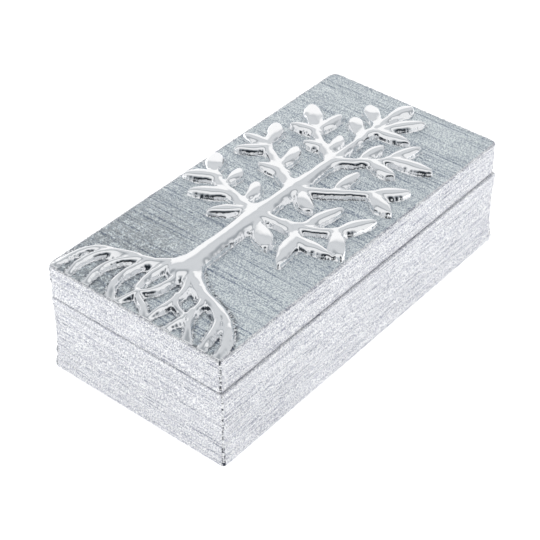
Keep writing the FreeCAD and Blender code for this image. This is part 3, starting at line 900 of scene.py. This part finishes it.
def hollow_places(seed, tree):
    """Places on the lid's top between the roots and close to the foot of the tree, drawn by their odds."""
    random = np.random.default_rng(seed)
    x, y, height = tree
    odds = round_the_tree(x, height, ROOT_ODDS, CROWN_ODDS)
    odds = np.where(height > -HOLLOW_CLEARANCE, 0, odds).ravel()
    chosen = random.choice(odds.size, HOLLOW_BEADS, replace=False, p=odds / odds.sum())
    level = np.full(HOLLOW_BEADS, LID_TOP_LEVEL - BEAD_SINK)
    return np.column_stack([x.ravel()[chosen], y.ravel()[chosen], level])


def build_pad(node, seed, materials):
    """Felt pad: rings of a rounded square with soft edges, roughened by fine noise."""
    low, high = (np.array(corner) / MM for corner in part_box(node))
    plan = rounded_plan(*PAD_COLUMNS)
    columns = len(plan[0])
    half = (high[0] - low[0]) / 2
    middle = CAP_HALF_WIDTH - half
    rows = np.concatenate([
        line_rows((middle, low[2]), (-PAD_EDGE, low[2]), 8),
        arc_rows(-PAD_EDGE, low[2] + PAD_EDGE, PAD_EDGE, -70, 0, 4),
        line_rows((0, low[2] + PAD_SIDE_START), (0, high[2]), 3),
        line_rows((-PAD_TOP_INSET, high[2]), (middle, high[2]), 2),
    ])
    reach, level = half + rows[:, 0:1], rows[:, 1:2]
    radius = np.minimum(PAD_CORNER, ROUND_SHARE * reach)
    fuzz = PAD_FUZZ * np.tanh(combed_field(seed, (len(rows), columns), PAD_BLUR, PAD_BLUR)) - PAD_FUZZ
    points = ring_points(plan, reach, reach, radius, fuzz, level).reshape(-1, 3)
    points[:, :2] += ((low + high) / 2)[:2]
    ring = np.arange(columns)
    caps = [ring[::-1].tolist(), (ring + (len(rows) - 1) * columns).tolist()]
    faces = ring_faces(0, len(rows), columns).tolist() + caps
    name = node.replace("felt_pad", "soft_felt")
    make_piece(name, points, faces, materials, np.zeros(len(faces), int), "base", node)


def fill_sockets(tree, node, inputs):
    """Values or links put into a node's sockets, by name with _ for a space or by number as n0, n1 and on."""
    for key, value in inputs.items():
        numbered = key[0] == "n" and key[1:].isdigit()
        socket = node.inputs[int(key[1:]) if numbered else key.replace("_", " ")]
        if isinstance(value, bpy.types.NodeSocket):
            tree.links.new(value, socket)
        else:
            socket.default_value = value


def add_node(tree, kind, settings=None, **inputs):
    """Node of a kind with its settings and with its sockets filled."""
    node = tree.nodes.new(kind)
    for key, value in (settings or {}).items():
        setattr(node, key, value)
    fill_sockets(tree, node, inputs)
    return node


def own_place(tree):
    """Place on the piece itself, in metres."""
    return add_node(tree, "ShaderNodeTexCoord").outputs["Object"]


def noise(tree, place, scale, detail, **more):
    """Noise about a half at each place, repeating so many times per metre."""
    return add_node(tree, "ShaderNodeTexNoise", Vector=place, Scale=scale, Detail=detail, **more).outputs[0]


def reckon(tree, operation, one, other):
    """Sum, product or larger one of two values."""
    return add_node(tree, "ShaderNodeMath", {"operation": operation}, n0=one, n1=other).outputs[0]


def spread(tree, value, low, high, new_low=0.0, new_high=1.0):
    """Value moved in a straight line from one range to another, and held at its ends."""
    moved = add_node(tree, "ShaderNodeMapRange", n0=value, n1=low, n2=high, n3=new_low, n4=new_high)
    return moved.outputs[0]


def blend_colours(tree, share, one, other):
    """Colour a share of the way from one to another."""
    return add_node(tree, "ShaderNodeMix", {"data_type": "RGBA"}, n0=share, n6=one, n7=other).outputs[2]


def colour_ramp(tree, value, stops):
    """Colour between stops of (value, colour), in straight lines."""
    ramp = add_node(tree, "ShaderNodeValToRGB", Fac=value)
    elements = ramp.color_ramp.elements
    while len(elements) < len(stops):
        elements.new(1.0)
    for element, (position, colour) in zip(elements, stops):
        element.position = position
        element.color = colour
    return ramp.outputs[0]


def bump(tree, height, strength, depth):
    """Facing of a surface roughened by a height, with its depth in millimetres."""
    rough = add_node(tree, "ShaderNodeBump", Strength=strength, Distance=depth * MM, Height=height)
    return rough.outputs["Normal"]


def new_group(name, inputs, outputs):
    """Empty shader node group with the given value, colour and vector sockets."""
    group = bpy.data.node_groups.new(name, "ShaderNodeTree")
    for socket, kind, value in inputs:
        made = group.interface.new_socket(socket, in_out="INPUT", socket_type=kind)
        made.default_value = value
    for socket, kind in outputs:
        group.interface.new_socket(socket, in_out="OUTPUT", socket_type=kind)
    return group, group.nodes.new("NodeGroupInput").outputs, group.nodes.new("NodeGroupOutput")


def combed_clay_group():
    """Strokes and grain of combed clay under silver, with dark spots where the wear and painted shade input
    is high.

    A stretched noise gives the strokes and a fine round one the grain. Stroke is how often the strokes
    repeat per metre along x, y and z, and Speckle is the grain's share in the colour. Height drives the
    bump, and Plate runs from the groove colour, which is painted shade, in the deepest places to Silver on
    the highest.
    """
    group, given, out = new_group(
        "combed clay",
        [("Stroke", "NodeSocketVector", (100, 100, 100)), ("Grain", "NodeSocketFloat", 0.5),
         ("Speckle", "NodeSocketFloat", 0.5), ("Silver", "NodeSocketColor", (0.8, 0.8, 0.8, 1)),
         ("Groove", "NodeSocketColor", (0.3, 0.3, 0.3, 1)), ("Wear", "NodeSocketFloat", 0.0)],
        [("Height", "NodeSocketFloat"), ("Roughness", "NodeSocketFloat"), ("Plate", "NodeSocketColor")])
    place = own_place(group)
    multiply = {"operation": "MULTIPLY"}
    stretched = add_node(group, "ShaderNodeVectorMath", multiply, n0=place, n1=given["Stroke"]).outputs[0]
    strokes = noise(group, stretched, 1.0, 3.0, Roughness=0.7)
    grain = noise(group, place, 1950.0, 0.0)
    # Darker in the grooves of the strokes: painted shade
    cut = spread(group, strokes, 0.4, 0.46)
    speck = spread(group, grain, 0.47, 0.53)
    tone = add_node(group, "ShaderNodeMix", n0=given["Speckle"], n2=cut, n3=speck).outputs[0]
    plate = blend_colours(group, tone, given["Groove"], given["Silver"])
    # Dark spots: wear at the corners, and painted shade on the lid's top
    spots = spread(group, noise(group, place, 620.0, 2.0, Roughness=0.7), 0.42, 0.5)
    worn_and_shaded = reckon(group, "MULTIPLY", spots, given["Wear"])
    fill_sockets(group, out, {
        "Height": reckon(group, "ADD", strokes, reckon(group, "MULTIPLY", grain, given["Grain"])),
        "Roughness": spread(group, noise(group, place, 900.0, 3.0), 0.3, 0.7, 0.3, 0.55),
        "Plate": blend_colours(group, worn_and_shaded, plate, (0.05, 0.055, 0.075, 1)),
    })
    return group


def new_material(name):
    """Material with nodes, its tree and its Principled shader."""
    material = bpy.data.materials.new(name)
    material.use_nodes = True
    return material, material.node_tree, material.node_tree.nodes["Principled BSDF"]


def combed_silver(name, group, stroke, grain, speckle, relief, silver, groove):
    """Silver plate on combed clay: metal whose colour, bump and roughness come from the strokes and grain."""
    material, tree, shader = new_material(name)
    wear = add_node(tree, "ShaderNodeAttribute", {"attribute_name": "wear"}).outputs["Fac"]
    clay = add_node(tree, "ShaderNodeGroup", {"node_tree": group}, Stroke=stroke, Grain=grain,
                    Speckle=speckle, Silver=silver, Groove=groove, Wear=wear).outputs
    fill_sockets(tree, shader, {
        "Base Color": clay["Plate"], "Metallic": 1.0, "Roughness": clay["Roughness"],
        "Normal": bump(tree, clay["Height"], 1.0, relief),
    })
    return material


def polished_silver():
    """Silver plate on smooth glaze: nearly a mirror, with slow waves where the glaze ran."""
    material, tree, shader = new_material("polished silver")
    waves = noise(tree, own_place(tree), 160.0, 1.0)
    fill_sockets(tree, shader, {
        "Base Color": (0.95, 0.955, 0.965, 1), "Metallic": 1.0,
        "Roughness": spread(tree, waves, 0.3, 0.7, 0.08, 0.14), "Normal": bump(tree, waves, 0.35, 0.25),
    })
    return material


def white_glaze():
    """Off-white glaze of the inside: a clear gloss over faint clouds of colour and slow waves."""
    material, tree, shader = new_material("white glaze")
    place = own_place(tree)
    clouds = noise(tree, place, 60.0, 4.0)
    waves = noise(tree, place, 180.0, 1.0)
    warm, pale = (0.86, 0.85, 0.82, 1), (0.93, 0.93, 0.91, 1)
    fill_sockets(tree, shader, {
        "Base Color": colour_ramp(tree, clouds, ((0.0, warm), (1.0, pale))), "Roughness": 0.22,
        "Normal": bump(tree, waves, 0.3, 0.2),
    })
    return material


def bare_clay():
    """Unglazed clay of the underside: chalky, speckled and slightly gritty."""
    material, tree, shader = new_material("bare clay")
    place = own_place(tree)
    grit = noise(tree, place, 1500.0, 3.0)
    speckles = reckon(tree, "MULTIPLY", grit, noise(tree, place, 45.0, 4.0))
    dull, pale = (0.58, 0.55, 0.50, 1), (0.78, 0.76, 0.71, 1)
    fill_sockets(tree, shader, {
        "Base Color": colour_ramp(tree, speckles, ((0.1, dull), (0.4, pale))), "Roughness": 0.85,
        "Normal": bump(tree, grit, 0.5, 0.1),
    })
    return material


def grey_felt():
    """Pressed felt: a dark mat of fibres, with pale strands of warped noise and a sheen at its edges."""
    material, tree, shader = new_material("grey felt")
    fibres = noise(tree, own_place(tree), 2600.0, 4.0, Distortion=1.5)
    dark, pale = (0.035, 0.036, 0.04, 1), (0.13, 0.13, 0.14, 1)
    fill_sockets(tree, shader, {
        "Base Color": colour_ramp(tree, fibres, ((0.35, dark), (0.75, pale))), "Roughness": 1.0,
        "Sheen Weight": 0.4, "Normal": bump(tree, fibres, 0.8, 0.2),
    })
    return material


def way_to_camera():
    """Unit vectors of the camera: towards it from the box, to its right and up, with its roll."""
    azimuth, elevation, roll = map(math.radians, (CAMERA_AZIMUTH, CAMERA_ELEVATION, CAMERA_ROLL))
    back = Vector((math.sin(azimuth) * math.cos(elevation), -math.cos(azimuth) * math.cos(elevation),
                   math.sin(elevation)))
    right = Vector((math.cos(azimuth), math.sin(azimuth), 0))
    up = back.cross(right)
    return back, math.cos(roll) * right + math.sin(roll) * up, math.cos(roll) * up - math.sin(roll) * right


def place_camera():
    """Camera at the photograph's viewpoint."""
    back, right, up = way_to_camera()
    camera = bpy.data.objects.new("camera", bpy.data.cameras.new("camera"))
    camera.data.lens = CAMERA_LENS
    camera.data.sensor_width = SENSOR_WIDTH
    camera.data.clip_start = 0.01
    place = (Vector(CAMERA_TARGET) + CAMERA_DISTANCE * back) * MM
    camera.matrix_world = Matrix.Translation(place) @ Matrix((right, up, back)).transposed().to_4x4()
    bpy.context.collection.objects.link(camera)
    bpy.context.scene.camera = camera


def light_studio():
    """Soft studio all round: bands of grey from a white far side to a dark near side, lit behind the camera.

    The brightness goes by how far a way points towards the camera along the floor.
    """
    world = bpy.data.worlds.new("studio")
    world.use_nodes = True
    bpy.context.scene.world = world
    tree = world.node_tree
    way = add_node(tree, "ShaderNodeTexCoord").outputs["Generated"]
    back = way_to_camera()[0]
    level = Vector((back.x, back.y, 0)).normalized()
    towards = add_node(tree, "ShaderNodeVectorMath", {"operation": "DOT_PRODUCT"}, n0=way, n1=level)
    turn = spread(tree, towards.outputs["Value"], -1.0, 1.0)
    stops = [(position, (grey ** (1 + COOLNESS), grey, grey ** (1 - COOLNESS), 1))
             for position, grey in STUDIO_GREYS]
    tree.links.new(colour_ramp(tree, turn, stops), tree.nodes["Background"].inputs["Color"])


def lay_floor():
    """White floor that shows white to the camera and in the silver, and keeps the box's shadow."""
    material, tree, shader = new_material("white floor")
    path = add_node(tree, "ShaderNodeLightPath").outputs
    seen = reckon(tree, "MAXIMUM", path["Is Camera Ray"], path["Is Glossy Ray"])
    fill_sockets(tree, shader, {
        "Base Color": (0.9, 0.9, 0.9, 1), "Roughness": 1.0, "Specular IOR Level": 0.0,
        "Emission Color": (1, 1, 1, 1), "Emission Strength": reckon(tree, "MULTIPLY", seen, FLOOR_GLOW),
    })
    mesh = bpy.data.meshes.new("floor")
    corners = [(-FLOOR_REACH, -FLOOR_REACH, 0), (FLOOR_REACH, -FLOOR_REACH, 0),
               (FLOOR_REACH, FLOOR_REACH, 0), (-FLOOR_REACH, FLOOR_REACH, 0)]
    mesh.from_pydata(corners, [], [(0, 1, 2, 3)])
    mesh.materials.append(material)
    floor = bpy.data.objects.new("floor", mesh)
    bpy.context.collection.objects.link(floor)


def scatter_beads(tree, materials):
    """Beads along the base's corners, the lid's corners and its top edge, and by the foot of the tree.

    The lid's beads are held inside the box of the solids at the back.
    """
    base_places = corner_places(BASE_CORNER_SEED, FOOT_LEVEL + FOOT_ROUNDING, RIM_LEVEL - RIM_ROUNDING,
                                wall_offset, BASE_CORNERS)
    build_beads("corner_beads", BASE_SIZE_SEED, base_places, "base", materials)
    lid_places = np.concatenate([
        corner_places(LID_CORNER_SEED, RIM_LEVEL + LID_EDGE_ROUNDING, LID_TOP_LEVEL - LID_EDGE_ROUNDING,
                      np.zeros_like, LID_CORNERS),
        lid_edge_places(LID_EDGE_SEED), hollow_places(HOLLOW_SEED, tree),
    ])
    lid_places[:, :2] += LID_MIDDLE
    lid_places[:, 1] = np.minimum(lid_places[:, 1], cad_box[1][1] / MM - BEAD_SIZES[1])
    build_beads("lid_beads", LID_SIZE_SEED, lid_places, "lid", materials)


def main():
    """Every piece of the box in its finish, then the camera, the studio and the floor."""
    clay = combed_clay_group()
    # The groove colours are painted shade in the combing, deeper on the lid's top than on the sides
    side_silver = combed_silver(
        "combed silver of the sides", clay, stroke=(40, 40, 1700), grain=1.2, speckle=0.62, relief=0.35,
        silver=(1.0, 1.0, 1.0, 1), groove=(0.34, 0.35, 0.43, 1))
    top_silver = combed_silver(
        "combed silver of the lid's top", clay, stroke=(1200, 22, 22), grain=0.9, speckle=0.56, relief=0.3,
        silver=(0.95, 1.0, 1.0, 1), groove=(0.24, 0.29, 0.38, 1))
    glaze, underside, felt, polished = white_glaze(), bare_clay(), grey_felt(), polished_silver()
    tree = plan_tree()
    build_base([side_silver, glaze, underside])
    build_lid(tree, [side_silver, top_silver, glaze])
    build_tree(tree, [polished])
    scatter_beads(tree, [polished])
    for seed, node in enumerate(sorted(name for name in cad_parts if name.startswith("felt_pad"))):
        build_pad(node, seed, [felt])
    place_camera()
    light_studio()
    lay_floor()
    bpy.context.scene.view_settings.view_transform = "Standard"


main()
